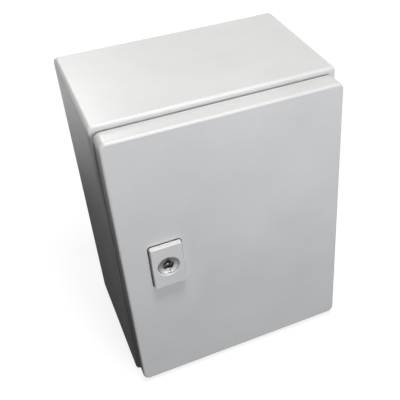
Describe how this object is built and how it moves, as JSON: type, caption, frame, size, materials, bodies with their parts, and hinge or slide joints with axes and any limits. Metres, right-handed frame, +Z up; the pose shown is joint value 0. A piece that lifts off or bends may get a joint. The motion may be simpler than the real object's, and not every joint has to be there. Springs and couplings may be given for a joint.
{
  "type": "traffic signal controller cabinet",
  "caption": "Wall cabinet of folded steel for a small traffic signal controller, with a hinged door, a quarter turn lock and rail mounted gear on a plate inside.",
  "frame": {"origin": "middle of the back face, which is also the middle of the pattern of wall holes", "axes": "+Z up, +Y into the wall, so the door faces -Y, +X to the right seen from the front"},
  "size_m": [0.3, 0.217, 0.4],
  "materials": {
    "grey_paint": "light grey powder coat, fine texture, satin",
    "foam_seal": "dark grey foamed polyurethane, matt",
    "rubber_seal": "black flat rubber, matt",
    "zinc_steel": "zinc plated steel, satin",
    "bolt_zinc": "bright zinc plated steel",
    "zinc_sheet": "galvanised sheet, satin with fine spangle",
    "lock_grey": "die cast zinc with light grey satin coat",
    "duct_grey": "grey extruded PVC, matt",
    "device_grey": "light grey moulded plastic, matt",
    "black_plastic": "black moulded plastic, matt",
    "cartridge_red": "red moulded plastic, matt",
    "supply_metal": "anodised aluminium, satin",
    "socket_black": "dark moulded plastic, matt",
    "clear_cover": "clear polycarbonate over a coil, glossy",
    "terminal_grey": "grey polyamide, matt",
    "earth_green": "green and yellow polyamide, matt",
    "case_black": "dark grey moulded plastic, matt",
    "case_grey": "grey moulded plastic, fine texture",
    "connector_green": "green polyamide connectors, matt",
    "display_glass": "clear window over a dark display, glossy",
    "nickel": "nickel plated brass, polished",
    "lens_red": "clear red lens, glossy",
    "lens_amber": "clear amber lens, glossy",
    "lens_green": "clear green lens, glossy",
    "key_grey": "dark grey silicone keys, matt"
  },
  "bodies": {
    "cabinet": {"cabinet_shell": "grey_paint", "hinge_arm_upper": "zinc_steel", "hinge_arm_lower": "zinc_steel", "hinge_arm_screws": "bolt_zinc", "body_earth_stud": "bolt_zinc", "gland_gasket": "foam_seal", "gland_plate": "zinc_sheet", "gland_studs": "bolt_zinc", "gland_nuts": "bolt_zinc", "mounting_plate_studs": "bolt_zinc", "mounting_plate": "zinc_sheet", "mounting_plate_nuts": "bolt_zinc", "din_rail_upper": "zinc_steel", "din_rail_lower": "zinc_steel", "rail_screws": "bolt_zinc", "duct_upper": "duct_grey", "duct_lower": "duct_grey", "duct_cover_upper": "duct_grey", "duct_cover_lower": "duct_grey", "breaker_case": "device_grey", "breaker_screws": "bolt_zinc", "surge_base": "device_grey", "surge_cartridges": "cartridge_red", "power_supply": "supply_metal", "supply_terminals": "black_plastic", "relay_sockets": "socket_black", "relays": "clear_cover", "terminal_blocks": "terminal_grey", "earth_terminals": "earth_green", "terminal_screws": "bolt_zinc", "end_stops": "terminal_grey", "controller_base": "case_black", "controller_screws": "bolt_zinc", "controller_cover": "case_grey", "controller_headers": "connector_green", "display_window": "display_glass", "switch_bush": "nickel", "lamps_red": "lens_red", "lamps_amber": "lens_amber", "lamps_green": "lens_green"},
    "door": {"door_panel": "grey_paint", "door_gasket": "foam_seal", "hinge_leaf_upper": "zinc_steel", "hinge_leaf_lower": "zinc_steel", "hinge_pin_upper": "bolt_zinc", "hinge_pin_lower": "bolt_zinc", "lock_case": "lock_grey", "lock_seal": "rubber_seal", "lock_nut": "zinc_steel", "door_earth_stud": "bolt_zinc"},
    "lock": {"lock_barrel": "lock_grey", "key_pin": "bolt_zinc", "lock_cam": "zinc_steel", "cam_screw": "bolt_zinc"},
    "breaker_handle": {"breaker_lever": "black_plastic"},
    "mode_switch": {"switch_lever": "nickel"},
    "menu_key": {"button_menu": "key_grey"},
    "test_key": {"button_test": "key_grey"},
    "reset_key": {"button_reset": "key_grey"}
  },
  "joints": [
    {"name": "door_hinge", "type": "hinge", "parent": "cabinet", "child": "door", "pos_m": [0.1405, -0.1935, 0], "axis": [0, 0, 1], "range_deg": [0, 120]},
    {"name": "lock_turn", "type": "hinge", "parent": "door", "child": "lock", "pos_m": [-0.092, -0.2, 0.005], "axis": [0, -1, 0], "range_deg": [0, 90]},
    {"name": "breaker_toggle", "type": "hinge", "parent": "cabinet", "child": "breaker_handle", "pos_m": [-0.0803, -0.074, 0.117], "axis": [1, 0, 0], "range_deg": [0, 70]},
    {"name": "mode_switch_tilt", "type": "hinge", "parent": "cabinet", "child": "mode_switch", "pos_m": [0.086, -0.0645, 0.0105], "axis": [1, 0, 0], "range_deg": [0, 28]},
    {"name": "menu_key_press", "type": "slide", "parent": "cabinet", "child": "menu_key", "axis": [0, 1, 0], "range_m": [0, 0.0015], "stiffness_N_per_m": 300, "springref_m": -0.001},
    {"name": "test_key_press", "type": "slide", "parent": "cabinet", "child": "test_key", "axis": [0, 1, 0], "range_m": [0, 0.0015], "stiffness_N_per_m": 300, "springref_m": -0.001},
    {"name": "reset_key_press", "type": "slide", "parent": "cabinet", "child": "reset_key", "axis": [0, 1, 0], "range_m": [0, 0.0015], "stiffness_N_per_m": 300, "springref_m": -0.001}
  ]
}
